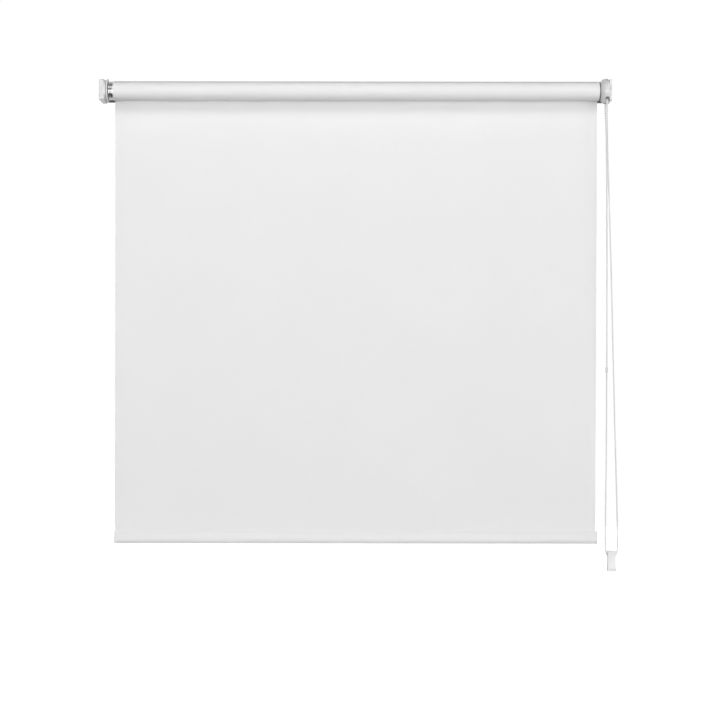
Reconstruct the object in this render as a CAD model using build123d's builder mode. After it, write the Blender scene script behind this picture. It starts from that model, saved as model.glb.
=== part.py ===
from build123d import *
import math
import os

os.makedirs("parts", exist_ok=True)

# Chain-operated roller blind, partly unrolled, millimetres.
# Frame: the wall is the plane Y = 0, the room is towards -Y, +Z is up, +X is
# to the right for someone facing the blind. The origin is midway between the
# two brackets, on the wall, level with the roller axis.

# ---- driving dimensions -------------------------------------------------
OVERALL_W = 1200.0          # across both bracket covers
AXIS_Y = -35.0              # roller axis, distance out from the wall
TUBE_R = 21.5               # 43 mm aluminium tube
TUBE_WALL = 1.3
TUBE_X0, TUBE_X1 = -569.5, 572.5
FABRIC_T = 0.5
ROLL_R = 22.5               # two safety wraps of fabric on the tube
FABRIC_X0, FABRIC_X1 = -568.0, 571.5
DROP_Y0, DROP_Y1 = -12.2, -11.7   # hanging sheet, behind the roll
HEM_TOP, HEM_BOTTOM = -1037.0, -1066.0
HEM_Y = -11.95              # middle of the bottom rail
BRACKET_H = 45.0            # side plate height
COVER_H = 50.0              # bracket covers
COVER_FRONT = -60.0
HOUSING_R = 29.5            # chain housing
FLANGE_X = 570.0            # inner edge of the left wall flange
FLANGE_X2 = 572.0           # and of the right one
SLOT_X, SLOT_Z = 579.0, 12.0   # wall screw slots
SLOT_LEN, SLOT_W = 9.0, 4.5
SHEET_T = 2.0               # bracket steel
PIN_R = 3.0
SHAFT_R = 8.95              # fixed clutch spindle
CHAIN_X = 589.5             # plane of the chain wheel
CHAIN_D = 4.5               # ball diameter
BALL_PITCH = 6.0
POCKETS = 16
PITCH_R = BALL_PITCH / (2 * math.sin(math.pi / POCKETS))
PULLEY_X, PULLEY_Z = 603.3, -1098.0
PULLEY_CR = 6.6             # chain centre line round the idler pulley
TENS_TOP, TENS_BOTTOM = -1080.5, -1128.2

AX = Axis((0, AXIS_Y, 0), (1, 0, 0))
HALF = Plane(origin=(0, AXIS_Y, 0), x_dir=(1, 0, 0), z_dir=(0, -1, 0))


def across(x):
    """Plane square to the roller axis at x, with its origin on the axis."""
    return Plane(origin=(x, AXIS_Y, 0), x_dir=(0, 1, 0), z_dir=(1, 0, 0))


def side(x):
    """Plane square to X at x, with its origin on the wall line."""
    return Plane(origin=(x, 0, 0), x_dir=(0, 1, 0), z_dir=(1, 0, 0))


def box(x0, x1, y0, y1, z0, z1, mode=Mode.ADD):
    """Axis-aligned block between two corners, inside the open builder."""
    with Locations(((x0 + x1) / 2, (y0 + y1) / 2, (z0 + z1) / 2)):
        Box(x1 - x0, y1 - y0, z1 - z0, mode=mode)


def save(builder, name):
    builder.part.label = name
    export_step(builder.part, "parts/" + name + ".step")


# ---- roller: tube, spline, wound fabric ---------------------------------
with BuildPart() as roller_tube:
    with BuildSketch(across(TUBE_X0)):
        Circle(TUBE_R)
        Circle(TUBE_R - TUBE_WALL, mode=Mode.SUBTRACT)
        for a in (210, 330):
            with Locations(Location((19.55 * math.cos(math.radians(a)), 19.55 * math.sin(math.radians(a)), 0), a)):
                Rectangle(1.9, 2.6)
        with Locations((0, 19.55)):
            Rectangle(7.6, 3.1)
        with Locations((0, 20.7)):
            Rectangle(3.6, 2.4, mode=Mode.SUBTRACT)
    extrude(amount=TUBE_X1 - TUBE_X0)
save(roller_tube, "roller_tube")

with BuildPart() as fabric_spline:
    with BuildSketch(across(TUBE_X0 + 3)):
        with Locations((0, 20.45)):
            Rectangle(3.2, 1.7)
    extrude(amount=TUBE_X1 - TUBE_X0 - 6)
    fillet(fabric_spline.edges().filter_by(Axis.X).group_by(Axis.Z)[-1], 0.4)
save(fabric_spline, "fabric_spline")

with BuildPart() as fabric_roll:
    with BuildSketch(across(FABRIC_X0)):
        Circle(ROLL_R)
        Circle(TUBE_R + 0.05, mode=Mode.SUBTRACT)
    extrude(amount=FABRIC_X1 - FABRIC_X0)
save(fabric_roll, "fabric_roll")

# ---- idler end, left ----------------------------------------------------
with BuildPart() as idler_plug:
    with BuildSketch(HALF):
        with BuildLine():
            Polyline((-585.4, PIN_R + 0.06), (-585.4, 5.2), (-584.8, 5.9), (-570.6, 5.9), (-570.6, 18.1),
                     (-569.5, 18.1), (-569.5, 19.9), (-566.0, 19.9), (-566.0, 15.5), (-521.0, 15.5),
                     (-519.5, 14.0), (-519.5, 7.2), (-561.0, 7.2), (-561.0, PIN_R + 0.06), close=True)
        make_face()
    revolve(axis=AX, revolution_arc=360)
    with BuildSketch(across(-567.0)):
        for a in (0, 52, 128, 180, 240, 270, 300):
            with Locations(Location((17.4 * math.cos(math.radians(a)), 17.4 * math.sin(math.radians(a)), 0), a)):
                Rectangle(4.8, 3.0)
    extrude(amount=44.0)
    # slots in the end ring for the tube's three inner keys
    with BuildSketch(across(-569.6)):
        for a in (210, 330):
            with Locations(Location((19.3 * math.cos(math.radians(a)), 19.3 * math.sin(math.radians(a)), 0), a)):
                Rectangle(3.0, 3.2)
        with Locations((0, 19.2)):
            Rectangle(8.4, 3.8)
    extrude(amount=3.7, mode=Mode.SUBTRACT)
save(idler_plug, "idler_plug")

with BuildPart() as idler_plug_cap:
    with BuildSketch(HALF):
        with BuildLine():
            Polyline((-526.0, 0), (-526.0, 7.15), (-519.4, 7.15), (-519.4, 10.5), (-517.4, 10.5), (-516.8, 9.9),
                     (-516.8, 0), close=True)
        make_face()
    revolve(axis=AX, revolution_arc=360)
save(idler_plug_cap, "idler_plug_cap")

with BuildPart() as idler_drum:
    with BuildSketch(HALF):
        with BuildLine():
            Polyline((-581.0, 6.0), (-581.0, 19.3), (-580.0, 21.2), (-578.6, 21.8), (-575.6, 21.8), (-574.5, 20.9),
                     (-573.4, 21.8), (-570.3, 21.8), (-569.6, 21.5), (-569.6, 18.2), (-579.0, 18.2), (-579.0, 6.0), close=True)
        make_face()
    revolve(axis=AX, revolution_arc=360)
save(idler_drum, "idler_drum")

with BuildPart() as idler_rim:
    with BuildSketch(HALF):
        with BuildLine():
            Polyline((-583.6, 6.0), (-583.6, 19.0), (-584.2, 26.4), (-583.5, 27.4), (-581.9, 27.6), (-581.0, 26.9),
                     (-580.6, 22.6), (-581.3, 20.4), (-581.3, 6.0), close=True)
        make_face()
    revolve(axis=AX, revolution_arc=360)
save(idler_rim, "idler_rim")

with BuildPart() as idler_pin:
    with BuildSketch(HALF):
        with BuildLine():
            Polyline((-594.8, 0), (-594.8, 2.2), (-594.0, PIN_R), (-560.6, PIN_R), (-560.6, 6.7), (-557.8, 6.7),
                     (-557.8, PIN_R), (-545.6, PIN_R), (-545.0, 2.4), (-545.0, 0), close=True)
        make_face()
    revolve(axis=AX, revolution_arc=360)
save(idler_pin, "idler_pin")

with BuildPart() as idler_spring:
    with BuildLine():
        coil = Helix(pitch=3.6, height=29.0, radius=5.2, center=(-556.9, AXIS_Y, 0), direction=(1, 0, 0))
    with BuildSketch(Plane(origin=coil @ 0, z_dir=coil % 0)):
        Circle(0.55)
    sweep()
save(idler_spring, "idler_spring")

with BuildPart() as idler_bush:
    with BuildSketch(HALF):
        with BuildLine():
            Polyline((-592.0, PIN_R + 0.06), (-592.0, 5.0), (-589.98, 5.0), (-589.98, 8.0), (-588.2, 7.6),
                     (-588.2, PIN_R + 0.06), close=True)
        make_face()
    revolve(axis=AX, revolution_arc=360)
save(idler_bush, "idler_bush")

# ---- brackets: bent steel, side plate and wall flange --------------------
with BuildPart() as bracket_left:
    with BuildSketch(side(-592.0)):
        with Locations((-28.0, 0)):
            r = Rectangle(56.0, BRACKET_H)
        fillet(r.vertices().group_by(Axis.X)[0], 12.0)
        with Locations((AXIS_Y, 0)):
            Circle(5.02, mode=Mode.SUBTRACT)
    extrude(amount=SHEET_T)
    with BuildSketch(Plane.XZ):
        with Locations(((-592.0 - FLANGE_X) / 2, 0)):
            Rectangle(592.0 - FLANGE_X, BRACKET_H)
        with Locations((-SLOT_X, SLOT_Z), (-SLOT_X, -SLOT_Z)):
            SlotOverall(SLOT_LEN, SLOT_W, mode=Mode.SUBTRACT)
    extrude(amount=SHEET_T)
    fillet(bracket_left.edges().filter_by(Axis.Z).sort_by(lambda e: abs(e.center().X + 592.0) + abs(e.center().Y))[0], 2.4)
save(bracket_left, "bracket_left")

with BuildPart() as bracket_right:
    with BuildSketch(side(596.2)):
        with Locations((-28.0, 0)):
            r = Rectangle(56.0, BRACKET_H)
        fillet(r.vertices().group_by(Axis.X)[0], 12.0)
        with Locations((AXIS_Y, 0)):
            Rectangle(10.3, 10.3, mode=Mode.SUBTRACT)
    extrude(amount=SHEET_T)
    with BuildSketch(Plane.XZ):
        with Locations(((598.2 + FLANGE_X2) / 2, 0)):
            Rectangle(598.2 - FLANGE_X2, BRACKET_H)
        with Locations((SLOT_X, SLOT_Z), (SLOT_X, -SLOT_Z)):
            SlotOverall(SLOT_LEN, SLOT_W, mode=Mode.SUBTRACT)
    extrude(amount=SHEET_T)
    fillet(bracket_right.edges().filter_by(Axis.Z).sort_by(lambda e: abs(e.center().X - 598.2) + abs(e.center().Y))[0], 2.4)
save(bracket_right, "bracket_right")

# ---- snap-on covers over the side plates ---------------------------------
with BuildPart() as bracket_cover_left:
    with BuildSketch(side(-600.0)):
        with Locations(((COVER_FRONT - 0.4) / 2, 0)):
            r = Rectangle(-COVER_FRONT - 0.4, COVER_H)
        fillet(r.vertices().group_by(Axis.X)[0], 6.0)
    extrude(amount=11.6)
    fillet(bracket_cover_left.faces().sort_by(Axis.X)[0].edges(), 2.0)
    chamfer(bracket_cover_left.faces().sort_by(Axis.X)[-1].edges(), 0.7)
    with BuildSketch(across(-589.5)):
        Circle(24.6)
    extrude(amount=3.9)
    with BuildSketch(side(-598.4)):
        with Locations(((COVER_FRONT + 1.7 + 1.0) / 2, 0)):
            r = Rectangle(-COVER_FRONT - 0.7, 46.6)
        fillet(r.vertices().group_by(Axis.X)[0], 4.6)
    extrude(amount=8.6, mode=Mode.SUBTRACT)
    with BuildSketch(across(-590.5)):
        Circle(22.8)
    extrude(amount=3.3, mode=Mode.SUBTRACT)
    box(-591.0, -585.0, -3.4, 1.0, -23.3, 23.3, Mode.SUBTRACT)
    with Locations(across(-587.5)):
        Cylinder(9.0, 6.0, mode=Mode.SUBTRACT)
    for z in (-15.0, 15.0):
        box(-598.6, -592.2, -30.0, -8.0, z - 0.7, z + 0.7)
save(bracket_cover_left, "bracket_cover_left")

with BuildPart() as bracket_cover_right:
    with BuildSketch(side(594.6)):
        with Locations(((COVER_FRONT - 0.4) / 2, 0)):
            r = Rectangle(-COVER_FRONT - 0.4, COVER_H)
        fillet(r.vertices().group_by(Axis.X)[0], 4.0)
    extrude(amount=5.4)
    fillet(bracket_cover_right.faces().sort_by(Axis.X)[-1].edges(), 1.2)
    with BuildSketch(side(595.9)):
        with Locations(((COVER_FRONT + 1.7 + 1.0) / 2, 0)):
            r = Rectangle(-COVER_FRONT - 0.7, 46.6)
        fillet(r.vertices().group_by(Axis.X)[0], 2.6)
    extrude(amount=2.7, mode=Mode.SUBTRACT)
    box(594.0, 596.2, -3.4, 1.0, -23.3, 23.3, Mode.SUBTRACT)
    with Locations(across(595.2)):
        Cylinder(13.0, 1.8, mode=Mode.SUBTRACT)
save(bracket_cover_right, "bracket_cover_right")

# ---- chain drive, right: fixed parts --------------------------------------
with BuildPart() as drive_spindle:
    with BuildSketch(HALF):
        with BuildLine():
            Polyline((528.0, 1.97), (528.0, SHAFT_R - 0.6), (528.6, SHAFT_R), (594.34, SHAFT_R), (594.34, 12.0),
                     (595.6, 12.0), (595.6, 0), (545.0, 0), (545.0, 1.97), close=True)
        make_face()
    revolve(axis=AX, revolution_arc=360)
    with BuildSketch(across(595.6)):
        Rectangle(10.0, 10.0)
    extrude(amount=2.7)
save(drive_spindle, "drive_spindle")

with BuildPart() as drive_housing:
    with BuildSketch(HALF):
        with BuildLine():
            Polyline((594.3, SHAFT_R + 0.02), (594.3, HOUSING_R - 1.1), (593.4, HOUSING_R), (589.5, HOUSING_R),
                     (589.4, HOUSING_R - 1.4), (588.3, HOUSING_R - 1.4), (588.2, HOUSING_R), (586.1, HOUSING_R),
                     (586.1, HOUSING_R - 2.6), (593.0, HOUSING_R - 2.6), (593.0, SHAFT_R + 0.02), close=True)
        make_face()
    revolve(axis=AX, revolution_arc=360)
    box(CHAIN_X - 3.8, CHAIN_X + 3.7, AXIS_Y - PITCH_R - 9.0, AXIS_Y - PITCH_R + 4.1, -31.0, -14.0, Mode.SUBTRACT)
    box(CHAIN_X - 3.0, CHAIN_X + 3.0, AXIS_Y + PITCH_R - 3.6, AXIS_Y + PITCH_R + 3.6, -31.0, -14.0, Mode.SUBTRACT)
save(drive_housing, "drive_housing")

with BuildPart() as chain_guard:
    with BuildSketch(HALF):
        with BuildLine():
            Polyline((574.8, 13.6), (574.8, 20.9), (576.2, 22.6), (578.8, 25.3), (581.2, 27.9), (583.4, 29.2),
                     (586.0, HOUSING_R), (586.0, HOUSING_R - 2.6), (582.6, 26.0), (580.4, 24.8), (578.9, 23.2),
                     (577.6, 21.4), (577.2, 19.8), (577.2, 13.6), close=True)
        make_face()
    revolve(axis=AX, revolution_arc=360)
    box(CHAIN_X - 3.8, CHAIN_X, AXIS_Y - PITCH_R - 9.0, AXIS_Y - PITCH_R + 4.1, -31.0, -14.0, Mode.SUBTRACT)
save(chain_guard, "chain_guard")

with BuildPart() as retaining_washer:
    with BuildSketch(across(526.6)):
        Circle(11.6)
        Circle(2.05, mode=Mode.SUBTRACT)
    extrude(amount=1.35)
    fillet(retaining_washer.edges().filter_by(GeomType.CIRCLE).group_by(Axis.X)[0].sort_by(SortBy.RADIUS)[-1], 0.4)
save(retaining_washer, "retaining_washer")

with BuildPart() as retaining_screw:
    with BuildSketch(HALF):
        with BuildLine():
            Polyline((523.8, 0), (523.8, 2.9), (524.6, 3.9), (526.55, 3.9), (526.55, 1.9), (541.5, 1.9), (542.6, 0.8),
                     (542.6, 0), close=True)
        make_face()
    revolve(axis=AX, revolution_arc=360)
    with BuildSketch(across(523.7)):
        Rectangle(4.6, 0.9)
        Rectangle(0.9, 4.6)
    extrude(amount=1.6, mode=Mode.SUBTRACT)
save(retaining_screw, "retaining_screw")

# ---- chain drive, right: parts that turn with the tube --------------------
with BuildPart() as drive_crown:
    with BuildSketch(HALF):
        with BuildLine():
            Polyline((528.8, SHAFT_R + 0.06), (528.8, 13.4), (530.4, 15.5), (568.0, 15.5), (568.0, 19.9),
                     (572.6, 19.9), (572.6, 21.9), (574.2, 21.9), (574.2, SHAFT_R + 0.06), (567.0, SHAFT_R + 0.06),
                     (567.0, 12.0), (541.5, 12.0), (541.5, SHAFT_R + 0.06), close=True)
        make_face()
    revolve(axis=AX, revolution_arc=360)
    with BuildSketch(across(533.0)):
        for a in (0, 52, 128, 180, 240, 270, 300):
            with Locations(Location((17.4 * math.cos(math.radians(a)), 17.4 * math.sin(math.radians(a)), 0), a)):
                Rectangle(4.8, 3.0)
    extrude(amount=36.0)
    # slots in the rear wall so the fins clear the tube's three inner keys
    with BuildSketch(across(567.9)):
        for a in (210, 330):
            with Locations(Location((19.3 * math.cos(math.radians(a)), 19.3 * math.sin(math.radians(a)), 0), a)):
                Rectangle(3.0, 3.2)
        with Locations((0, 19.2)):
            Rectangle(8.4, 3.8)
    extrude(amount=4.6, mode=Mode.SUBTRACT)
save(drive_crown, "drive_crown")

with BuildPart() as clutch_spring:
    with BuildLine():
        coil = Helix(pitch=2.2, height=21.5, radius=10.4, center=(543.4, AXIS_Y, 0), direction=(1, 0, 0))
    with BuildSketch(Plane(origin=coil @ 0, z_dir=coil % 0)):
        Rectangle(1.5, 1.5)
    sweep()
save(clutch_spring, "clutch_spring")

with BuildPart() as sprocket:
    with BuildSketch(HALF):
        with BuildLine():
            Polyline((574.3, SHAFT_R + 0.06), (574.3, 12.6), (586.5, 12.6), (586.5, 15.6), (587.2, 16.4),
                     (591.8, 16.4), (592.5, 15.6), (592.5, SHAFT_R + 0.06), close=True)
        make_face()
    revolve(axis=AX, revolution_arc=360)
    with BuildSketch(Plane(origin=(0, AXIS_Y, 0), x_dir=(1, 0, 0), z_dir=(0, -1, 0))):
        with Locations((CHAIN_X, PITCH_R + 0.6)):
            Rectangle(2.0, 3.2)
    revolve(axis=AX, revolution_arc=360, mode=Mode.SUBTRACT)
    with BuildSketch(across(CHAIN_X - 2.42)):
        with PolarLocations(PITCH_R, POCKETS, start_angle=90):
            Circle(2.42)
    extrude(amount=4.84, mode=Mode.SUBTRACT)
save(sprocket, "sprocket")

# Balls of the endless chain that sit in the upper pockets, with their cord.
with BuildPart() as chain_on_sprocket:
    with BuildLine(across(CHAIN_X)):
        arc = CenterArc((0, 0), PITCH_R, 22.5, 135)
    with BuildSketch(Plane(origin=arc @ 0, z_dir=arc % 0)):
        Circle(0.7)
    sweep()
    with Locations(across(CHAIN_X)):
        with PolarLocations(PITCH_R, 7, start_angle=22.5, angular_range=157.5):
            Sphere(CHAIN_D / 2)
save(chain_on_sprocket, "chain_on_sprocket")

# ---- hanging sheet and bottom rail ----------------------------------------
HEM_X0, HEM_X1 = -567.2, 570.2
with BuildPart() as fabric_drop:
    box(FABRIC_X0, FABRIC_X1, DROP_Y0, DROP_Y1, HEM_TOP + 0.1, 0.0)
    box(HEM_X0 + 0.3, HEM_X1 - 0.3, DROP_Y0, DROP_Y1, HEM_TOP - 5.4, HEM_TOP + 0.1)
save(fabric_drop, "fabric_drop")

RAIL = Plane(origin=(HEM_X0, HEM_Y, (HEM_TOP + HEM_BOTTOM) / 2), x_dir=(0, 1, 0), z_dir=(1, 0, 0))
RAIL_H = HEM_TOP - HEM_BOTTOM
with BuildPart() as hem_bar:
    with BuildSketch(RAIL):
        with BuildLine():
            Spline((2.0, RAIL_H / 2), (4.2, 8.0), (5.0, -1.0), (4.3, -10.5), (2.6, -RAIL_H / 2),
                   tangents=[(0.5, -1), (-0.35, -1)])
            Line((2.6, -RAIL_H / 2), (-2.6, -RAIL_H / 2))
            Spline((-2.6, -RAIL_H / 2), (-4.3, -10.5), (-5.0, -1.0), (-4.2, 8.0), (-2.0, RAIL_H / 2),
                   tangents=[(-0.35, 1), (0.5, 1)])
            Line((-2.0, RAIL_H / 2), (2.0, RAIL_H / 2))
        make_face()
        with Locations((0, -6.4)):
            RectangleRounded(6.4, 13.4, 2.0, mode=Mode.SUBTRACT)
        with Locations((0, 6.2)):
            RectangleRounded(5.2, 8.2, 1.6, mode=Mode.SUBTRACT)
        with Locations((0, 12.6)):
            Rectangle(1.5, 6.0, mode=Mode.SUBTRACT)
    extrude(amount=HEM_X1 - HEM_X0)
save(hem_bar, "hem_bar")

with BuildPart() as hem_spline:
    with BuildSketch(Plane(origin=(HEM_X0 + 4, HEM_Y, HEM_TOP - 8.6), x_dir=(0, 1, 0), z_dir=(1, 0, 0))):
        Circle(1.7)
    extrude(amount=HEM_X1 - HEM_X0 - 8)
save(hem_spline, "hem_spline")

with BuildPart() as hem_cap_left:
    with BuildSketch(Plane(origin=(HEM_X0 - 2.1, HEM_Y, (HEM_TOP + HEM_BOTTOM) / 2), x_dir=(0, 1, 0), z_dir=(1, 0, 0))):
        with BuildLine():
            Spline((2.0, RAIL_H / 2), (4.2, 8.0), (5.0, -1.0), (4.3, -10.5), (2.6, -RAIL_H / 2),
                   tangents=[(0.5, -1), (-0.35, -1)])
            Line((2.6, -RAIL_H / 2), (-2.6, -RAIL_H / 2))
            Spline((-2.6, -RAIL_H / 2), (-4.3, -10.5), (-5.0, -1.0), (-4.2, 8.0), (-2.0, RAIL_H / 2),
                   tangents=[(-0.35, 1), (0.5, 1)])
            Line((-2.0, RAIL_H / 2), (2.0, RAIL_H / 2))
        make_face()
    extrude(amount=2.0)
    chamfer(hem_cap_left.faces().sort_by(Axis.X)[0].edges(), 0.35)
    with BuildSketch(Plane(origin=(HEM_X0 - 0.2, HEM_Y, (HEM_TOP + HEM_BOTTOM) / 2), x_dir=(0, 1, 0), z_dir=(1, 0, 0))):
        with Locations((0, -6.4)):
            RectangleRounded(6.1, 13.0, 1.8)
            RectangleRounded(3.6, 10.4, 0.8, mode=Mode.SUBTRACT)
    extrude(amount=12.0)
save(hem_cap_left, "hem_cap_left")

with BuildPart() as hem_cap_right:
    with BuildSketch(Plane(origin=(HEM_X1 + 0.1, HEM_Y, (HEM_TOP + HEM_BOTTOM) / 2), x_dir=(0, 1, 0), z_dir=(1, 0, 0))):
        with BuildLine():
            Spline((2.0, RAIL_H / 2), (4.2, 8.0), (5.0, -1.0), (4.3, -10.5), (2.6, -RAIL_H / 2),
                   tangents=[(0.5, -1), (-0.35, -1)])
            Line((2.6, -RAIL_H / 2), (-2.6, -RAIL_H / 2))
            Spline((-2.6, -RAIL_H / 2), (-4.3, -10.5), (-5.0, -1.0), (-4.2, 8.0), (-2.0, RAIL_H / 2),
                   tangents=[(-0.35, 1), (0.5, 1)])
            Line((-2.0, RAIL_H / 2), (2.0, RAIL_H / 2))
        make_face()
    extrude(amount=2.0)
    chamfer(hem_cap_right.faces().sort_by(Axis.X)[-1].edges(), 0.35)
    with BuildSketch(Plane(origin=(HEM_X1 - 11.8, HEM_Y, (HEM_TOP + HEM_BOTTOM) / 2), x_dir=(0, 1, 0), z_dir=(1, 0, 0))):
        with Locations((0, -6.4)):
            RectangleRounded(6.1, 13.0, 1.8)
            RectangleRounded(3.6, 10.4, 0.8, mode=Mode.SUBTRACT)
    extrude(amount=12.0)
save(hem_cap_right, "hem_cap_right")

# ---- the free chain loop ---------------------------------------------------
# Down the front strand, round the idler pulley in the weight, up the rear
# strand. The loop is edge on at the wheel and turns a quarter on its way down.
Y_F, Y_B = AXIS_Y - PITCH_R, AXIS_Y + PITCH_R
route = [
    (589.5, Y_F, -14.0),
    (589.6, Y_F + 0.1, -70.0),
    (592.2, Y_F + 0.2, -180.0),
    (596.0, Y_F + 0.7, -300.0),
    (600.2, Y_F + 1.5, -440.0),
    (603.8, Y_F + 3.4, -580.0),
    (607.4, Y_F + 6.0, -720.0),
    (611.4, Y_F + 8.9, -850.0),
    (615.0, Y_F + 12.2, -960.0),
    (617.2, AXIS_Y - 0.7, -1030.0),
    (617.8, AXIS_Y, -1083.5),
    (PULLEY_X + PULLEY_CR + 0.1, AXIS_Y, -1093.5),
    (PULLEY_X + PULLEY_CR, AXIS_Y, PULLEY_Z - PULLEY_CR),
    (PULLEY_X - PULLEY_CR, AXIS_Y, PULLEY_Z - PULLEY_CR),
    (PULLEY_X - PULLEY_CR - 0.1, AXIS_Y, -1093.5),
    (588.6, AXIS_Y, -1083.5),
    (588.8, AXIS_Y + 0.7, -1030.0),
    (590.2, Y_B - 12.0, -960.0),
    (591.6, Y_B - 8.6, -850.0),
    (592.8, Y_B - 5.8, -720.0),
    (593.4, Y_B - 3.2, -580.0),
    (593.8, Y_B - 1.4, -440.0),
    (593.6, Y_B - 0.6, -300.0),
    (593.2, Y_B - 0.2, -180.0),
    (592.0, Y_B - 0.1, -90.0),
    (589.6, Y_B, -46.0),
    (589.5, Y_B, -14.0),
]


def corner_radii(points, tight):
    """0.45 of the shorter run over the tangent of half the turn at each corner."""
    out = []
    for i in range(1, len(points) - 1):
        a, b, c = (Vector(*points[j]) for j in (i - 1, i, i + 1))
        run = min((b - a).length, (c - b).length)
        turn = (b - a).get_angle(c - b)
        r = 0.45 * run / math.tan(math.radians(turn / 2))
        out.append(min(tight.get(i, r), r if i not in tight else tight[i]))
    return out


BOTTOM = {11: 6.2, 12: PULLEY_CR - 0.02, 13: PULLEY_CR - 0.02, 14: 6.2}
radii = corner_radii(route, BOTTOM)
print("chain radii", [round(r, 1) for r in radii])
with BuildPart() as chain:
    with BuildLine() as chain_path:
        FilletPolyline(*route, radius=radii)
    with BuildSketch(Plane(origin=chain_path.wire() @ 0, z_dir=chain_path.wire() % 0)):
        Circle(CHAIN_D / 2)
    sweep(transition=Transition.ROUND)
print("chain length", round(chain_path.wire().length, 1), "volume", round(chain.part.volume, 1),
      "section x length", round(math.pi * (CHAIN_D / 2) ** 2 * chain_path.wire().length, 1))
save(chain, "chain")

# Moulded stop ball clipped on the front strand, at the mouth of the housing.
with BuildPart() as stop_ball:
    with Locations((589.5, Y_F, -24.3)):
        Sphere(3.6)
        Cylinder(2.9, 9.0)
save(stop_ball, "stop_ball")

# Joint of the endless chain on the rear strand, also the upper stop.
with BuildPart() as chain_connector:
    with BuildSketch(Plane(origin=(593.1, Y_B - 4.6, -655.0), x_dir=(1, 0, 0), z_dir=(0, 0, 1))):
        Circle(3.1)
    extrude(amount=6.0, both=True)
    fillet(chain_connector.edges(), 1.2)
save(chain_connector, "chain_connector")

# ---- chain weight with its idler pulley -------------------------------------
def weight_outline(inset):
    """Closed outline of the weight in the XZ plane, drawn in the open BuildLine."""
    t, b = TENS_TOP - inset, TENS_BOTTOM + inset
    x = PULLEY_X
    Polyline((x - 9.7 + inset, t), (x + 9.7 - inset, t), (x + 9.2 - inset, -1091.0), (x + 9.0 - inset, -1110.0),
             (x + 10.6 - inset, -1121.0), (x + 10.6 - inset, b), (x - 9.6 + inset, b), (x - 9.4 + inset, -1121.0),
             (x - 8.8 + inset, -1110.0), (x - 9.0 + inset, -1091.0), close=True)


def weight_side(s):
    """Side outline of one shell, from the split line outwards: rim, waist, bulge and foot."""
    y = AXIS_Y + s * 0.05
    Polyline((y, TENS_TOP), (y + s * 6.4, TENS_TOP), (y + s * 6.4, TENS_TOP - 2.4), (y + s * 5.7, TENS_TOP - 3.0),
             (y + s * 6.4, TENS_TOP - 3.6), (y + s * 6.2, -1108.0), (y + s * 7.9, -1119.0), (y + s * 7.9, -1122.6),
             (y + s * 6.9, -1123.8), (y + s * 6.4, TENS_BOTTOM), (y, TENS_BOTTOM), close=True)


with BuildPart() as weight_front:
    with BuildSketch(Plane(origin=(0, AXIS_Y - 0.05, 0), x_dir=(1, 0, 0), z_dir=(0, -1, 0))):
        with BuildLine():
            weight_outline(0.0)
        make_face()
    extrude(amount=8.4)
    fillet(weight_front.edges().filter_by(Axis.Y), 1.0)
    with BuildSketch(Plane(origin=(PULLEY_X - 12, 0, 0), x_dir=(0, 1, 0), z_dir=(1, 0, 0))):
        with BuildLine():
            weight_side(-1)
        make_face()
    extrude(amount=24, mode=Mode.INTERSECT)
    with BuildSketch(Plane(origin=(0, AXIS_Y, 0), x_dir=(1, 0, 0), z_dir=(0, -1, 0))):
        with BuildLine():
            weight_outline(1.5)
        make_face()
    extrude(amount=4.6, mode=Mode.SUBTRACT)
    box(PULLEY_X - 12, PULLEY_X + 12, AXIS_Y - 3.0, AXIS_Y + 1, PULLEY_Z - 9.2, TENS_TOP - 1.9, Mode.SUBTRACT)
    with Locations((PULLEY_X, AXIS_Y - 3.9, PULLEY_Z)):
        Cylinder(3.4, 2.4, rotation=(90, 0, 0))
        Cylinder(1.5, 2.0, rotation=(90, 0, 0), mode=Mode.SUBTRACT)
    box(PULLEY_X - 1.52, PULLEY_X + 1.52, AXIS_Y - 4.9, AXIS_Y, PULLEY_Z - 1.52, PULLEY_Z + 1.52, Mode.SUBTRACT)
save(weight_front, "weight_front")

with BuildPart() as weight_back:
    with BuildSketch(Plane(origin=(0, AXIS_Y + 0.05, 0), x_dir=(1, 0, 0), z_dir=(0, -1, 0))):
        with BuildLine():
            weight_outline(0.0)
        make_face()
    extrude(amount=-8.4)
    fillet(weight_back.edges().filter_by(Axis.Y), 1.0)
    with BuildSketch(Plane(origin=(PULLEY_X - 12, 0, 0), x_dir=(0, 1, 0), z_dir=(1, 0, 0))):
        with BuildLine():
            weight_side(1)
        make_face()
    extrude(amount=24, mode=Mode.INTERSECT)
    with BuildSketch(Plane(origin=(0, AXIS_Y, 0), x_dir=(1, 0, 0), z_dir=(0, -1, 0))):
        with BuildLine():
            weight_outline(1.5)
        make_face()
    extrude(amount=-4.6, mode=Mode.SUBTRACT)
    box(PULLEY_X - 12, PULLEY_X + 12, AXIS_Y - 1, AXIS_Y + 3.0, PULLEY_Z - 9.2, TENS_TOP - 1.9, Mode.SUBTRACT)
    with Locations((PULLEY_X, AXIS_Y + 3.9, PULLEY_Z)):
        Cylinder(3.4, 2.4, rotation=(90, 0, 0))
    with Locations((PULLEY_X, AXIS_Y + 4.5, PULLEY_Z)):
        Cylinder(1.6, 6.0, rotation=(90, 0, 0), mode=Mode.SUBTRACT)
save(weight_back, "weight_back")

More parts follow.
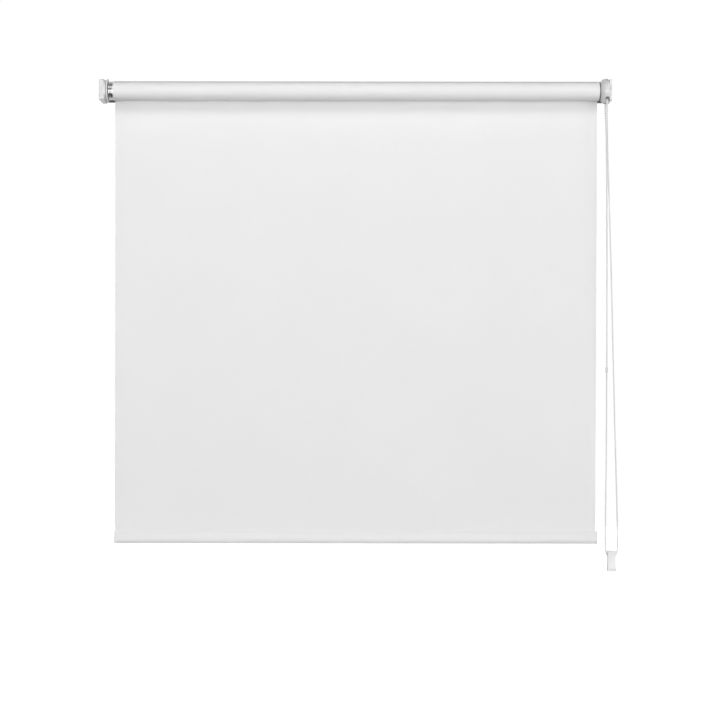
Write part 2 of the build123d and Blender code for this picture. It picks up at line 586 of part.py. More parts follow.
with BuildPart() as pulley_screw:
    with BuildSketch(Plane(origin=(PULLEY_X, AXIS_Y, PULLEY_Z), x_dir=(1, 0, 0), z_dir=(0, 0, 1))):
        with BuildLine():
            Polyline((0, -4.8), (1.45, -4.8), (1.45, 6.5), (2.7, 6.5), (2.7, 7.4), (2.2, 7.9), (0, 7.9), close=True)
        make_face()
    revolve(axis=Axis((PULLEY_X, AXIS_Y, PULLEY_Z), (0, 1, 0)), revolution_arc=360)
    box(PULLEY_X - 2.0, PULLEY_X + 2.0, AXIS_Y + 7.1, AXIS_Y + 9.0, PULLEY_Z - 0.35, PULLEY_Z + 0.35, Mode.SUBTRACT)
save(pulley_screw, "pulley_screw")

with BuildPart() as weight_pulley:
    with BuildSketch(Plane(origin=(PULLEY_X, AXIS_Y, PULLEY_Z), x_dir=(1, 0, 0), z_dir=(0, 0, 1))):
        with BuildLine():
            Polyline((1.5, -2.6), (5.4, -2.6), (5.4, -2.2), (4.05, -1.2), (4.05, 1.2), (5.4, 2.2), (5.4, 2.6),
                     (1.5, 2.6), close=True)
        make_face()
    revolve(axis=Axis((PULLEY_X, AXIS_Y, PULLEY_Z), (0, 1, 0)), revolution_arc=360)
save(weight_pulley, "weight_pulley")

with BuildPart() as weight_slug:
    box(PULLEY_X - 6.8, PULLEY_X + 7.2, AXIS_Y - 4.4, AXIS_Y + 4.4, -1126.2, -1109.6)
    fillet(weight_slug.edges(), 0.8)
save(weight_slug, "weight_slug")
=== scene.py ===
"""Looks of the roller blind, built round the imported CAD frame. Metres, the row's own frame:
the wall is Y = 0, the room is towards -Y, the roller axis is at Y = -0.035, Z = 0."""

import math

import bpy
import numpy as np
from mathutils import Matrix, Vector


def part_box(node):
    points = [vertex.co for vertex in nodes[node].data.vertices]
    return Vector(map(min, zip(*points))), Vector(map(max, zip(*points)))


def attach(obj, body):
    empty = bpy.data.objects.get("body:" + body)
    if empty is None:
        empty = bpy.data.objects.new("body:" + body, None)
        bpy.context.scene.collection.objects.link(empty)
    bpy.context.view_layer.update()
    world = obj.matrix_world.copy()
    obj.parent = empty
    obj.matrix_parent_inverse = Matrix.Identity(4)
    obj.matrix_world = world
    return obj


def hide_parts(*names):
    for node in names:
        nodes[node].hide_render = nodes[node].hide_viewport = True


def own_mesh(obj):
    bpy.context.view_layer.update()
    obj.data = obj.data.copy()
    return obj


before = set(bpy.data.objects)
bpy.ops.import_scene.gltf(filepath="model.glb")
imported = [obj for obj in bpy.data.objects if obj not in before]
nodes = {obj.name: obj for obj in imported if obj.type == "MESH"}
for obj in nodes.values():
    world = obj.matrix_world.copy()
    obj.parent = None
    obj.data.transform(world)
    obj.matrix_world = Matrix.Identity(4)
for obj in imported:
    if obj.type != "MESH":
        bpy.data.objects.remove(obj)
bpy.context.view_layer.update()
scene = bpy.context.scene
MM = 0.001

# ---- camera ----------------------------------------------------------------
cam_data = bpy.data.cameras.new("camera")
cam_data.sensor_width = 36.0
cam_data.lens = 85.65
camera = bpy.data.objects.new("camera", cam_data)
scene.collection.objects.link(camera)
camera.location = (0.0113, -4.064, -0.6322)
camera.rotation_euler = (math.radians(90.0), -0.0012, 0.0)
scene.camera = camera
scene.view_settings.view_transform = "Standard"

# ---- sizes shared by the pieces ---------------------------------------------
AXIS_Y = -35.0
ROLL_R = 22.5
ROLL_LO, ROLL_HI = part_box("fabric_roll")
DROP_LO, DROP_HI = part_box("fabric_drop")
RAIL_LO, RAIL_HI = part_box("hem_bar")


# ---- node helpers -------------------------------------------------------------
class Net:
    """Small wrapper for building a material's node tree."""

    def __init__(self, name):
        self.mat = bpy.data.materials.new(name)
        self.mat.use_nodes = True
        self.nt = self.mat.node_tree
        self.nt.nodes.clear()
        self.out = self.nt.nodes.new("ShaderNodeOutputMaterial")
        self.bsdf = self.nt.nodes.new("ShaderNodeBsdfPrincipled")
        self.link(self.bsdf.outputs["BSDF"], self.out.inputs["Surface"])

    def link(self, a, b):
        self.nt.links.new(a, b)

    def set(self, **values):
        for key, v in values.items():
            self.bsdf.inputs[key.replace("_", " ")].default_value = v
        return self

    def put(self, socket, v):
        if isinstance(v, (int, float)):
            socket.default_value = v
        elif isinstance(v, (tuple, list)):
            socket.default_value = v
        else:
            self.link(v, socket)

    def math(self, op, a, b=None, c=None, clamp=False):
        n = self.nt.nodes.new("ShaderNodeMath")
        n.operation = op
        n.use_clamp = clamp
        for i, v in enumerate((a, b, c)):
            if v is not None:
                self.put(n.inputs[i], v)
        return n.outputs[0]

    def coords(self, kind="Object"):
        n = self.nt.nodes.new("ShaderNodeTexCoord")
        return n.outputs[kind]

    def split(self, v):
        n = self.nt.nodes.new("ShaderNodeSeparateXYZ")
        self.link(v, n.inputs[0])
        return n.outputs

    def join(self, x, y, z):
        n = self.nt.nodes.new("ShaderNodeCombineXYZ")
        for i, v in enumerate((x, y, z)):
            self.put(n.inputs[i], v)
        return n.outputs[0]

    def scaled(self, v, s):
        n = self.nt.nodes.new("ShaderNodeVectorMath")
        n.operation = "MULTIPLY"
        self.link(v, n.inputs[0])
        n.inputs[1].default_value = s
        return n.outputs[0]

    def noise(self, v, scale, detail=2.0, rough=0.5):
        n = self.nt.nodes.new("ShaderNodeTexNoise")
        self.link(v, n.inputs["Vector"])
        n.inputs["Scale"].default_value = scale
        n.inputs["Detail"].default_value = detail
        n.inputs["Roughness"].default_value = rough
        return n.outputs[0]

    def remap(self, v, a, b, c, d):
        n = self.nt.nodes.new("ShaderNodeMapRange")
        self.link(v, n.inputs["Value"])
        for name, x in (("From Min", a), ("From Max", b), ("To Min", c), ("To Max", d)):
            n.inputs[name].default_value = x
        return n.outputs[0]

    def tint(self, fac, a, b):
        n = self.nt.nodes.new("ShaderNodeMix")
        n.data_type = "RGBA"
        self.put(n.inputs[0], fac)
        n.inputs[6].default_value = (*a, 1.0)
        n.inputs[7].default_value = (*b, 1.0)
        return n.outputs[2]

    def bump(self, height, distance, strength=1.0, after=None):
        n = self.nt.nodes.new("ShaderNodeBump")
        n.inputs["Strength"].default_value = strength
        n.inputs["Distance"].default_value = distance
        self.link(height, n.inputs["Height"])
        if after is not None:
            self.link(after, n.inputs["Normal"])
        return n.outputs[0]

    def edge(self, low=0.5, high=0.62):
        """Share of a worn convex edge, from the mesh's own shape."""
        g = self.nt.nodes.new("ShaderNodeNewGeometry")
        return self.remap(g.outputs["Pointiness"], low, high, 0.0, 1.0)

    def normal(self, v):
        self.link(v, self.bsdf.inputs["Normal"])

    def colour(self, v):
        self.link(v, self.bsdf.inputs["Base Color"])

    def roughness(self, v):
        self.link(v, self.bsdf.inputs["Roughness"])


def grey(v, warm=0.0):
    return (v * (1 + warm), v, v * (1 - warm))


# ---- materials ------------------------------------------------------------------
def fabric(name, along, around, base=0.825):
    """Plain-woven coated polyester, about 24 threads to the centimetre. along and around give
    the two thread directions in metres."""
    m = Net(name)
    u, v = along(m), around(m)
    pitch = 0.00042
    su = m.math("SINE", m.math("MULTIPLY", u, math.pi / pitch))
    sv = m.math("SINE", m.math("MULTIPLY", v, math.pi / pitch))
    a, b = m.math("ABSOLUTE", su), m.math("ABSOLUTE", sv)
    over = m.math("GREATER_THAN", m.math("MULTIPLY", su, sv), 0.0)
    crown_a = m.math("MULTIPLY", m.math("POWER", a, 0.7), m.math("MULTIPLY_ADD", b, 0.4, 0.6))
    crown_b = m.math("MULTIPLY", m.math("POWER", b, 0.7), m.math("MULTIPLY_ADD", a, 0.4, 0.6))
    weave = m.math("ADD", m.math("MULTIPLY", over, crown_a),
                   m.math("MULTIPLY", m.math("SUBTRACT", 1.0, over), crown_b))
    flat = m.join(u, v, 0.0)
    slub_u = m.noise(m.scaled(flat, (30.0, 2400.0, 1.0)), 1.0, 2.0)
    slub_v = m.noise(m.scaled(flat, (2400.0, 30.0, 1.0)), 1.0, 2.0)
    slub = m.math("ADD", slub_u, slub_v)
    cloud = m.noise(flat, 5.0, 3.0)
    tone = m.math("ADD", m.math("MULTIPLY", weave, 0.35),
                  m.math("ADD", m.math("MULTIPLY", slub, 0.25), m.math("MULTIPLY", cloud, 0.35)))
    m.colour(m.tint(m.remap(tone, 0.2, 0.95, 0.0, 1.0), grey(base), grey(base + 0.06)))
    m.roughness(m.remap(slub, 0.6, 1.4, 0.78, 0.88))
    lower = m.bump(weave, 0.00003)
    m.normal(m.bump(slub, 0.00001, after=lower))
    m.set(Sheen_Weight=0.12, Sheen_Roughness=0.5, Specular_IOR_Level=0.3)
    m.bsdf.inputs["Sheen Tint"].default_value = (1, 1, 1, 1)
    return m.mat


def object_axis(i):
    return lambda m: m.split(m.coords("Object"))[i]


def uv_axis(i):
    def get(m):
        n = m.nt.nodes.new("ShaderNodeUVMap")
        n.uv_map = "cloth"
        return m.split(n.outputs[0])[i]
    return get


def moulded(name, base, rough=0.35, grain=0.000006, grain_scale=2600.0, coat=0.0, spec=0.5, warm=0.0, flow=0.03):
    """Injection-moulded plastic: fine spark texture, faint flow marks, lighter rubbed edges."""
    m = Net(name)
    c = m.coords("Object")
    fine = m.noise(c, grain_scale, 2.0)
    cloud = m.noise(c, 60.0, 3.0)
    worn = m.edge()
    tone = m.math("MULTIPLY_ADD", worn, 0.6, m.math("MULTIPLY", cloud, 0.6), clamp=True)
    m.colour(m.tint(tone, grey(base * (1 - flow), warm), grey(min(1.0, base * (1 + flow)), warm)))
    m.roughness(m.remap(m.math("ADD", fine, cloud), 0.6, 1.4, rough - 0.04, rough + 0.05))
    m.normal(m.bump(fine, grain))
    m.set(Coat_Weight=coat, Coat_Roughness=0.08, Specular_IOR_Level=spec)
    return m.mat


def metal(name, base, rough, spangle=0.06, brushed=None, warm=0.0):
    m = Net(name)
    c = m.coords("Object")
    if brushed is None:
        pattern = m.noise(c, 900.0, 3.0, 0.6)
        wide = m.noise(c, 90.0, 2.0)
    else:
        pattern = m.noise(m.scaled(c, brushed), 1.0, 3.0, 0.6)
        wide = m.noise(c, 40.0, 2.0)
    worn = m.edge()
    tone = m.math("MULTIPLY_ADD", worn, 0.5, m.math("MULTIPLY", m.math("ADD", pattern, wide), 0.4), clamp=True)
    m.colour(m.tint(tone, grey(base * (1 - spangle), warm), grey(min(1.0, base * (1 + spangle)), warm)))
    m.roughness(m.remap(pattern, 0.3, 0.7, max(0.03, rough - 0.04), rough + 0.05))
    m.normal(m.bump(pattern, 0.000003))
    m.set(Metallic=1.0)
    return m.mat


def powder(name, base, rough):
    """Powder coat: orange peel at a millimetre or so, with a tight clear surface."""
    m = Net(name)
    c = m.coords("Object")
    peel = m.noise(c, 800.0, 2.0)
    cloud = m.noise(c, 12.0, 2.0)
    m.colour(m.tint(cloud, grey(base * 0.985), grey(min(1.0, base * 1.015))))
    m.roughness(m.remap(peel, 0.3, 0.7, rough - 0.03, rough + 0.04))
    m.normal(m.bump(peel, 0.00001))
    m.set(Specular_IOR_Level=0.5, Coat_Weight=0.1, Coat_Roughness=0.2)
    return m.mat


MATS = {
    "roll_cloth": fabric("white_cloth_roll", uv_axis(0), uv_axis(1)),
    "drop_cloth": fabric("white_cloth_drop", object_axis(0), object_axis(2)),
    "rail": powder("white_powder_coat", 0.82, 0.38),
    "cap": moulded("white_moulded", 0.82, 0.38),
    "cover": moulded("silver_lacquer", 0.80, 0.25, coat=0.4),
    "guard": moulded("guard_grey", 0.70, 0.32, coat=0.2),
    "housing": moulded("housing_light_grey", 0.78, 0.28, coat=0.2),
    "chrome": metal("bright_chrome", 0.55, 0.2, 0.02, brushed=(6000.0, 60.0, 60.0)),
    "tube": metal("mill_aluminium", 0.72, 0.32, 0.04, brushed=(20.0, 2500.0, 2500.0)),
    "steel": metal("zinc_plated_steel", 0.42, 0.34, 0.14),
    # Painted shade: the brackets get a dark grey base so the flanges look as shaded as they sit, under and behind the
    # roll ends.
    "bracket": powder("bracket_grey_with_painted_shade", 0.19, 0.42),
    # Partly painted shade: the drive crown is near-black plastic, its darkness also standing in for the shadowed gap
    # between the roll end and the drive housing.
    "dark": moulded("dark_plastic", 0.035, 0.42),
    "pin": metal("turned_steel", 0.62, 0.22, 0.05, brushed=(4000.0, 60.0, 60.0)),
    "spring": metal("spring_wire", 0.5, 0.28, 0.05),
    "nylon": moulded("natural_nylon", 0.72, 0.45, warm=0.03),
    "chain": moulded("chain_plastic", 0.80, 0.32, grain_scale=5000.0, grain=0.000003),
    "weight": moulded("weight_plastic", 0.86, 0.36),
}

NODE_MATS = {
    "roller_tube": "tube", "fabric_spline": "nylon", "idler_plug": "cap", "idler_plug_cap": "cap",
    "idler_drum": "chrome", "idler_rim": "cap", "idler_pin": "pin", "idler_spring": "spring",
    "idler_bush": "nylon", "bracket_left": "bracket", "bracket_right": "bracket",
    "bracket_cover_left": "cover", "bracket_cover_right": "cover", "drive_spindle": "cap",
    "drive_housing": "housing", "chain_guard": "guard", "retaining_washer": "steel", "retaining_screw": "pin",
    "drive_crown": "dark", "clutch_spring": "spring", "sprocket": "nylon", "chain_on_sprocket": "chain",
    "hem_bar": "rail", "hem_spline": "nylon", "hem_cap_left": "cap", "hem_cap_right": "cap",
    "stop_ball": "chain", "chain_connector": "chain", "weight_front": "weight", "weight_back": "weight",
    "pulley_screw": "pin", "weight_pulley": "nylon", "weight_slug": "steel",
    "chain": "chain", "fabric_drop": "drop_cloth", "fabric_roll": "roll_cloth",
}
for name, o in nodes.items():
    o.data.materials.clear()
    o.data.materials.append(MATS[NODE_MATS[name]])


# ---- mesh helpers -----------------------------------------------------------------
def new_mesh(name, verts, faces, uvs=None, smooth=True):
    me = bpy.data.meshes.new(name)
    me.from_pydata([tuple(v) for v in verts], [], faces)
    if uvs is not None:
        layer = me.uv_layers.new(name="cloth")
        loops = np.zeros(len(me.loops), np.int32)
        me.loops.foreach_get("vertex_index", loops)
        layer.data.foreach_set("uv", np.asarray(uvs, float)[loops].astype(np.float32).ravel())
    me.polygons.foreach_set("use_smooth", [smooth] * len(me.polygons))
    me.validate()
    me.update()
    o = bpy.data.objects.new(name, me)
    scene.collection.objects.link(o)
    return o


def soften(o, angle=40.0):
    """Smooth shading with hard edges kept above an angle."""
    me = o.data
    limit = math.cos(math.radians(angle))
    by_edge = {}
    for p in me.polygons:
        for k in p.edge_keys:
            by_edge.setdefault(k, []).append(p.normal.copy())
    for e in me.edges:
        ns = by_edge.get(tuple(sorted(e.vertices)), [])
        e.use_edge_sharp = len(ns) != 2 or ns[0].dot(ns[1]) < limit


# ---- the wound cloth ---------------------------------------------------------------
def wound_cloth():
    """Two and a quarter turns of sheet on the tube, a spiral strip with an even outer skin."""
    inner, pitch, gap = 21.55, 0.4222, 0.03
    turns, per = 2.25, 120
    n = int(turns * per)
    stations = [0.0, 0.4] + [i * 60.0 for i in range(1, 19)] + [1139.6, 1140.0]
    x0 = ROLL_LO.x * 1000
    verts, uvs, faces = [], [], []
    ring = []
    for i in range(n + 1):
        t = i / per
        a = math.radians(90.0) - 2 * math.pi * t
        ri = inner + pitch * t
        ro = min(ROLL_R, inner + pitch * (t + 1) - gap) if t < turns - 1 else ROLL_R
        ro = max(ro, ri + 0.04)
        ring.append((a, ri, min(ro, ROLL_R), t))
    for s, xs in enumerate(stations):
        for side in (0, 1):
            for a, ri, ro, t in ring:
                mid = (ri + ro) / 2
                r = ri if side == 0 else ro
                if s in (0, len(stations) - 1):
                    r = mid + (r - mid) * 0.55
                run_out = 0.18 * math.sin(2.3 * t * math.pi + 0.4) if s in (0, len(stations) - 1) else 0.0
                x = x0 + xs + (abs(run_out) if s == 0 else -abs(run_out) if s == len(stations) - 1 else 0.0)
                verts.append((x * MM, (AXIS_Y + r * math.cos(a)) * MM, r * math.sin(a) * MM))
                uvs.append((x * MM, 22.0 * a * MM))
    m = n + 1

    def at(s, side, i):
        return (s * 2 + side) * m + i

    for s in range(len(stations) - 1):
        for i in range(n):
            faces.append((at(s, 1, i), at(s, 1, i + 1), at(s + 1, 1, i + 1), at(s + 1, 1, i)))
            faces.append((at(s, 0, i + 1), at(s, 0, i), at(s + 1, 0, i), at(s + 1, 0, i + 1)))
        for i, flip in ((0, False), (n, True)):
            f = (at(s, 0, i), at(s, 1, i), at(s + 1, 1, i), at(s + 1, 0, i))
            faces.append(f[::-1] if flip else f)
    last = len(stations) - 1
    for i in range(n):
        faces.append((at(0, 0, i), at(0, 0, i + 1), at(0, 1, i + 1), at(0, 1, i)))
        faces.append((at(last, 0, i + 1), at(last, 0, i), at(last, 1, i), at(last, 1, i + 1)))
    o = new_mesh("cloth_roll", verts, faces, uvs)
    soften(o, 35)
    return o


def fix_normals(o):
    import bmesh
    bm = bmesh.new()
    bm.from_mesh(o.data)
    bmesh.ops.recalc_face_normals(bm, faces=bm.faces)
    bm.to_mesh(o.data)
    bm.free()


cloth_roll = wound_cloth()
fix_normals(cloth_roll)
cloth_roll.data.materials.append(MATS["roll_cloth"])
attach(cloth_roll, "roller")
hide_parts("fabric_roll")

# ---- the hanging cloth -----------------------------------------------------------
SLOT_Z = -1039.7          # middle of the rail's slot, which the lower edge follows


def hanging_cloth():
    """The sheet from the back of the roll into the rail. Half a millimetre thick, with a faint
    slow wave and a right edge that draws in a little towards the rail."""
    x0, x1 = DROP_LO.x * 1000, DROP_HI.x * 1000
    hem_top = RAIL_HI.z * 1000
    cols = np.concatenate([np.linspace(0, 0.03, 7), np.linspace(0.03, 0.97, 96)[1:-1], np.linspace(0.97, 1, 9)])
    wraps = [math.radians(a) for a in (26, 22, 18, 14, 10, 6.5, 3)]
    path = [((AXIS_Y + ROLL_R * math.cos(a)), ROLL_R * math.sin(a), a) for a in wraps]
    zs = [0.0, -4.0, -9.0, -16.0] + list(np.linspace(-26.0, hem_top + 6.0, 92)) + [hem_top + 2.0, hem_top + 0.1, hem_top - 0.1, SLOT_Z, -1041.4]
    rows = [(y, z, a) for y, z, a in path] + [(None, z, 0.0) for z in zs]
    nr, nc = len(rows), len(cols)
    front, back = [], []
    for y, z, a in rows:
        down = max(0.0, -z) / 1037.0
        thick = 0.5 if y is None else 0.1 + 0.4 * (1 - (a / wraps[0])) ** 1.0
        for c in cols:
            xa, xb = x0, x1 - 3.6 * down ** 1.05
            if z < hem_top:
                xa, xb = x0 + 1.7, min(xb, x1 - 1.7)
            x = xa + (xb - xa) * c
            if y is None:
                settle = -12.25 + 0.3 * min(1.0, down * 1.2)
                env = math.sin(math.pi * min(1.0, down)) ** 0.8
                wave = env * (0.55 * math.sin(x / 173.0 + 0.7 + 1.4 * down) + 0.30 * math.sin(x / 71.0 + 2.1 - 2.0 * down)
                              + 0.35 * math.sin(down * 5.1 + x / 420.0))
                edge = (x - (xb - 26.0)) / 26.0
                curl = (max(0.0, edge) ** 2) * 2.6 * min(1.0, down * 1.3) * (1 if z > hem_top else 0)
                edge_l = ((xa + 20.0) - x) / 20.0
                curl += (max(0.0, edge_l) ** 2) * 1.2 * env
                mid_y = settle + wave * 0.6 + curl * env
                front.append((x, mid_y - 0.25, z))
                back.append((x, mid_y + 0.25, z))
            else:
                front.append((x, AXIS_Y + (ROLL_R + 0.01) * math.cos(a), (ROLL_R + 0.01) * math.sin(a)))
                back.append((x, AXIS_Y + (ROLL_R + thick) * math.cos(a), (ROLL_R + thick) * math.sin(a)))
    verts = [tuple(q * MM for q in p) for p in front + back]
    off = len(front)
    faces = []
    for r in range(nr - 1):
        for c in range(nc - 1):
            a, b, d, e = r * nc + c, r * nc + c + 1, (r + 1) * nc + c, (r + 1) * nc + c + 1
            faces.append((a, d, e, b))
            faces.append((off + a, off + b, off + e, off + d))
    for r in range(nr - 1):
        for c in (0, nc - 1):
            a, d = r * nc + c, (r + 1) * nc + c
            f = (a, off + a, off + d, d)
            faces.append(f if c == 0 else f[::-1])
    for c in range(nc - 1):
        for r in (0, nr - 1):
            a, b = r * nc + c, r * nc + c + 1
            f = (a, b, off + b, off + a)
            faces.append(f if r == 0 else f[::-1])
    o = new_mesh("cloth_drop", verts, faces)
    soften(o, 50)
    return o


cloth_drop = hanging_cloth()
fix_normals(cloth_drop)
cloth_drop.data.materials.append(MATS["drop_cloth"])
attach(cloth_drop, "root")
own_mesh(cloth_drop)
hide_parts("fabric_drop")

# ---- the chain loop --------------------------------------------------------------
PITCH_R = 6.0 / (2 * math.sin(math.pi / 16))
Y_F, Y_B = AXIS_Y - PITCH_R, AXIS_Y + PITCH_R
PULLEY_X, PULLEY_Z, PULLEY_CR = 603.3, -1098.0, 6.6
ROUTE = [
    (589.5, Y_F, -14.0),
    (589.6, Y_F + 0.1, -70.0),
    (592.2, Y_F + 0.2, -180.0),
    (596.0, Y_F + 0.7, -300.0),
    (600.2, Y_F + 1.5, -440.0),
    (603.8, Y_F + 3.4, -580.0),
    (607.4, Y_F + 6.0, -720.0),
    (611.4, Y_F + 8.9, -850.0),
    (615.0, Y_F + 12.2, -960.0),
    (617.2, AXIS_Y - 0.7, -1030.0),
    (617.8, AXIS_Y, -1083.5),
    (PULLEY_X + PULLEY_CR + 0.1, AXIS_Y, -1093.5),
    (PULLEY_X + PULLEY_CR, AXIS_Y, PULLEY_Z - PULLEY_CR),
    (PULLEY_X - PULLEY_CR, AXIS_Y, PULLEY_Z - PULLEY_CR),
    (PULLEY_X - PULLEY_CR - 0.1, AXIS_Y, -1093.5),
    (588.6, AXIS_Y, -1083.5),
    (588.8, AXIS_Y + 0.7, -1030.0),
    (590.2, Y_B - 12.0, -960.0),
    (591.6, Y_B - 8.6, -850.0),
    (592.8, Y_B - 5.8, -720.0),
    (593.4, Y_B - 3.2, -580.0),
    (593.8, Y_B - 1.4, -440.0),
    (593.6, Y_B - 0.6, -300.0),
    (593.2, Y_B - 0.2, -180.0),
    (592.0, Y_B - 0.1, -90.0),
    (589.6, Y_B, -46.0),
    (589.5, Y_B, -14.0),
]


def spline_points(route):
    """Points along the route's smooth NURBS line, in order."""
    data = bpy.data.curves.new("chain_line", "CURVE")
    data.dimensions = "3D"
    data.resolution_u = 24
    sp = data.splines.new("NURBS")
    sp.points.add(len(route) - 1)
    for p, q in zip(sp.points, route):
        p.co = (q[0] * MM, q[1] * MM, q[2] * MM, 1.0)
    sp.order_u = 3
    sp.use_endpoint_u = True
    sp.resolution_u = 24
    o = bpy.data.objects.new("chain_line", data)
    scene.collection.objects.link(o)
    bpy.context.view_layer.update()
    me = bpy.data.meshes.new_from_object(o)
    pts = [v.co.copy() for v in me.vertices]
    bpy.data.meshes.remove(me)
    bpy.data.objects.remove(o)
    bpy.data.curves.remove(data)
    return pts


def frames_along(points):
    """Arc length, and at any length the place and the direction."""
    lengths = [0.0]
    for a, b in zip(points, points[1:]):
        lengths.append(lengths[-1] + (b - a).length)

    def at(s):
        s = min(max(s, 0.0), lengths[-1])
        lo, hi = 0, len(lengths) - 1
        while hi - lo > 1:
            mid = (lo + hi) // 2
            if lengths[mid] <= s:
                lo = mid
            else:
                hi = mid
        f = (s - lengths[lo]) / max(1e-9, lengths[hi] - lengths[lo])
        return points[lo].lerp(points[hi], f), (points[hi] - points[lo]).normalized()
    return lengths[-1], at


def tube_rings(rings, verts, faces, closed_ends=True):
    """Joins rings of vertex positions, all the same size, into one closed tube."""
    base = len(verts)
    k = len(rings[0])
    for r in rings:
        verts.extend(r)
    for i in range(len(rings) - 1):
        for j in range(k):
            a, b = base + i * k + j, base + i * k + (j + 1) % k
            faces.append((a, b, b + k, a + k))
    if closed_ends:
        faces.append(tuple(base + j for j in range(k))[::-1])
        faces.append(tuple(base + (len(rings) - 1) * k + j for j in range(k)))


def square_frame(t):
    u = t.cross(Vector((0, 1, 0)) if abs(t.y) < 0.9 else Vector((1, 0, 0))).normalized()
    return u, t.cross(u).normalized()


def bead_chain():
    points = spline_points(ROUTE)
    total, at = frames_along(points)
    verts, faces = [], []
    # the braided cord through the balls
    rings, k = [], 8
    u = None
    count = int(total / 0.003)
    for i in range(count + 1):
        p, t = at(total * i / count)
        u, v = (square_frame(t) if u is None else ((u - t * u.dot(t)).normalized(), None))
        v = t.cross(u).normalized()
        rings.append([tuple(p + (u * math.cos(2 * math.pi * j / k) + v * math.sin(2 * math.pi * j / k)) * 0.00068) for j in range(k)])
    tube_rings(rings, verts, faces)
    # moulded balls, each with a short neck where the cord goes in
    profile = [(-2.25, 0.85), (-2.12, 1.02), (-1.72, 1.50), (-1.15, 1.93), (-0.45, 2.20), (-0.12, 2.25), (0.12, 2.25),
               (0.45, 2.20), (1.15, 1.93), (1.72, 1.50), (2.12, 1.02), (2.25, 0.85)]
    k = 14
    balls = int((total - 0.004) / 0.006)
    start = (total - balls * 0.006) / 2
    for i in range(balls + 1):
        p, t = at(start + i * 0.006)
        u, v = square_frame(t)
        rings = [[tuple(p + t * (a * MM) + (u * math.cos(2 * math.pi * j / k) + v * math.sin(2 * math.pi * j / k)) * (r * MM)) for j in range(k)]
                 for a, r in profile]
        tube_rings(rings, verts, faces)
    o = new_mesh("bead_chain", verts, faces)
    soften(o, 60)
    return o, points, total


bead, chain_points, chain_length = bead_chain()
fix_normals(bead)
bead.data.materials.append(MATS["chain"])
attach(bead, "root")
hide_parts("chain")
print("chain length", round(chain_length, 4))


# ---- floor, light --------------------------------------------------------------
def floor():
    me = bpy.data.meshes.new("floor")
    s, z = 9.0, -1.9
    me.from_pydata([(-s, -s, z), (s, -s, z), (s, s, z), (-s, s, z)], [], [(0, 1, 2, 3)])
    o = bpy.data.objects.new("floor", me)
    scene.collection.objects.link(o)
    m = Net("pale_floor")
    m.bsdf.inputs["Base Color"].default_value = (0.9, 0.9, 0.9, 1)
    m.bsdf.inputs["Emission Color"].default_value = (1, 1, 1, 1)
    m.bsdf.inputs["Emission Strength"].default_value = 1.0
    me.materials.append(m.mat)
    o.visible_glossy = False
    o.visible_diffuse = False
    o.visible_shadow = False
    return o


floor()


def area(name, place, target, size, energy, colour=(1, 1, 1)):
    data = bpy.data.lights.new(name, "AREA")
    data.shape = "RECTANGLE"
    data.size, data.size_y = size
    data.energy = energy
    data.color = colour
    o = bpy.data.objects.new(name, data)
    scene.collection.objects.link(o)
    o.location = place
    o.rotation_euler = (Vector(target) - Vector(place)).to_track_quat("-Z", "Y").to_euler()
    o.visible_camera = False
    return o


def soft_box(name, turn, lift, size, radiance):
    """Soft box six metres off, `turn` degrees round and `lift` degrees up, aimed at the middle of the blind."""
    centre = Vector((0.0, -0.03, -0.5))
    a, e = math.radians(turn), math.radians(lift)
    place = centre + 6.0 * Vector((math.sin(a) * math.cos(e), -math.cos(a) * math.cos(e), math.sin(e)))
    area(name, place, centre, size, radiance * math.pi * size[0] * size[1])


soft_box("front", 0, 0, (3.4, 1.8), 4.5)
soft_box("front_high", 0, 44, (3.4, 1.8), 1.9)
soft_box("front_low", 0, -22, (3.4, 1.8), 3.0)
soft_box("left", -45, 0, (2.6, 3.0), 2.9)
soft_box("right", 45, 0, (2.6, 3.0), 4.6)
soft_box("left_high", -40, 35, (2.6, 2.4), 2.5)
area("over", (-0.05, -1.6, 1.1), (-0.05, 0.0, -0.5), (1.2, 0.8), 2.1 * math.pi * 1.2 * 0.8)

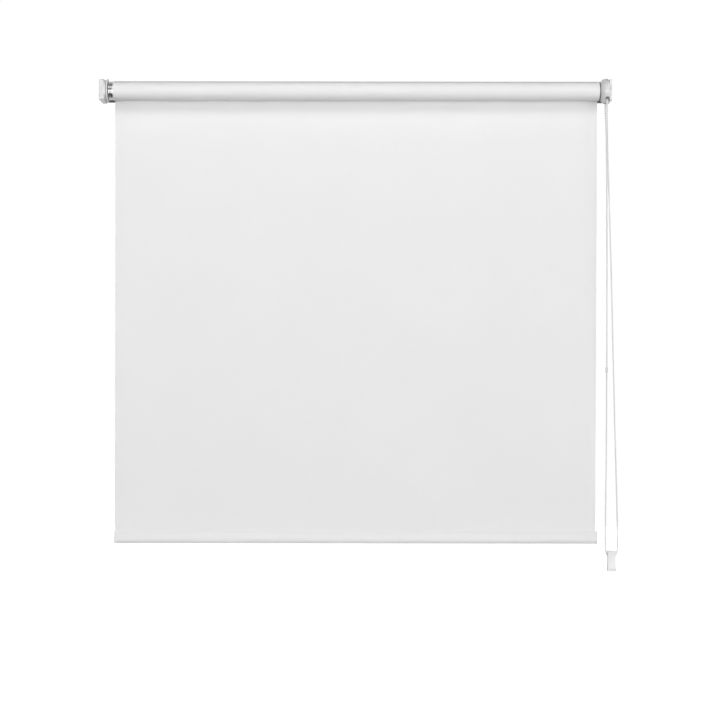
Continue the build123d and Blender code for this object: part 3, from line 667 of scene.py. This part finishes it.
world = bpy.data.worlds.new("studio")
scene.world = world
world.use_nodes = True
wt = world.node_tree
wt.nodes.clear()
w_out = wt.nodes.new("ShaderNodeOutputWorld")
w_mix = wt.nodes.new("ShaderNodeMixShader")
w_seen = wt.nodes.new("ShaderNodeBackground")
w_light = wt.nodes.new("ShaderNodeBackground")
w_path = wt.nodes.new("ShaderNodeLightPath")
w_seen.inputs["Color"].default_value = (1, 1, 1, 1)
w_seen.inputs["Strength"].default_value = 1.02
w_co = wt.nodes.new("ShaderNodeTexCoord")
w_sep = wt.nodes.new("ShaderNodeSeparateXYZ")
wt.links.new(w_co.outputs["Generated"], w_sep.inputs[0])
w_ramp = wt.nodes.new("ShaderNodeValToRGB")
w_map = wt.nodes.new("ShaderNodeMapRange")
wt.links.new(w_sep.outputs[2], w_map.inputs["Value"])
w_map.inputs["From Min"].default_value = -1.0
w_map.inputs["From Max"].default_value = 1.0
wt.links.new(w_map.outputs[0], w_ramp.inputs[0])
# light from behind the blind, for the polished parts; almost none from the room side
w_sep2 = wt.nodes.new("ShaderNodeMapRange")
wt.links.new(w_sep.outputs[1], w_sep2.inputs["Value"])
w_sep2.inputs["From Min"].default_value = -0.1
w_sep2.inputs["From Max"].default_value = 0.35
ramp = w_ramp.color_ramp
ramp.elements[0].position, ramp.elements[0].color = 0.0, (0.07, 0.07, 0.07, 1)
ramp.elements[1].position, ramp.elements[1].color = 1.0, (0.30, 0.30, 0.30, 1)
e = ramp.elements.new(0.5)
e.color = (0.14, 0.14, 0.14, 1)
w_back = wt.nodes.new("ShaderNodeMix")
w_back.data_type = "RGBA"
wt.links.new(w_sep2.outputs[0], w_back.inputs[0])
wt.links.new(w_ramp.outputs[0], w_back.inputs[6])
w_back.inputs[7].default_value = (0.9, 0.9, 0.9, 1)
w_soft = wt.nodes.new("ShaderNodeMix")
w_soft.data_type = "RGBA"
wt.links.new(w_path.outputs["Is Glossy Ray"], w_soft.inputs[0])
w_soft.inputs[6].default_value = (0.012, 0.012, 0.012, 1)
wt.links.new(w_back.outputs[2], w_soft.inputs[7])
wt.links.new(w_soft.outputs[2], w_light.inputs["Color"])
w_light.inputs["Strength"].default_value = 1.0
wt.links.new(w_path.outputs["Is Camera Ray"], w_mix.inputs[0])
wt.links.new(w_light.outputs[0], w_mix.inputs[1])
wt.links.new(w_seen.outputs[0], w_mix.inputs[2])
wt.links.new(w_mix.outputs[0], w_out.inputs["Surface"])
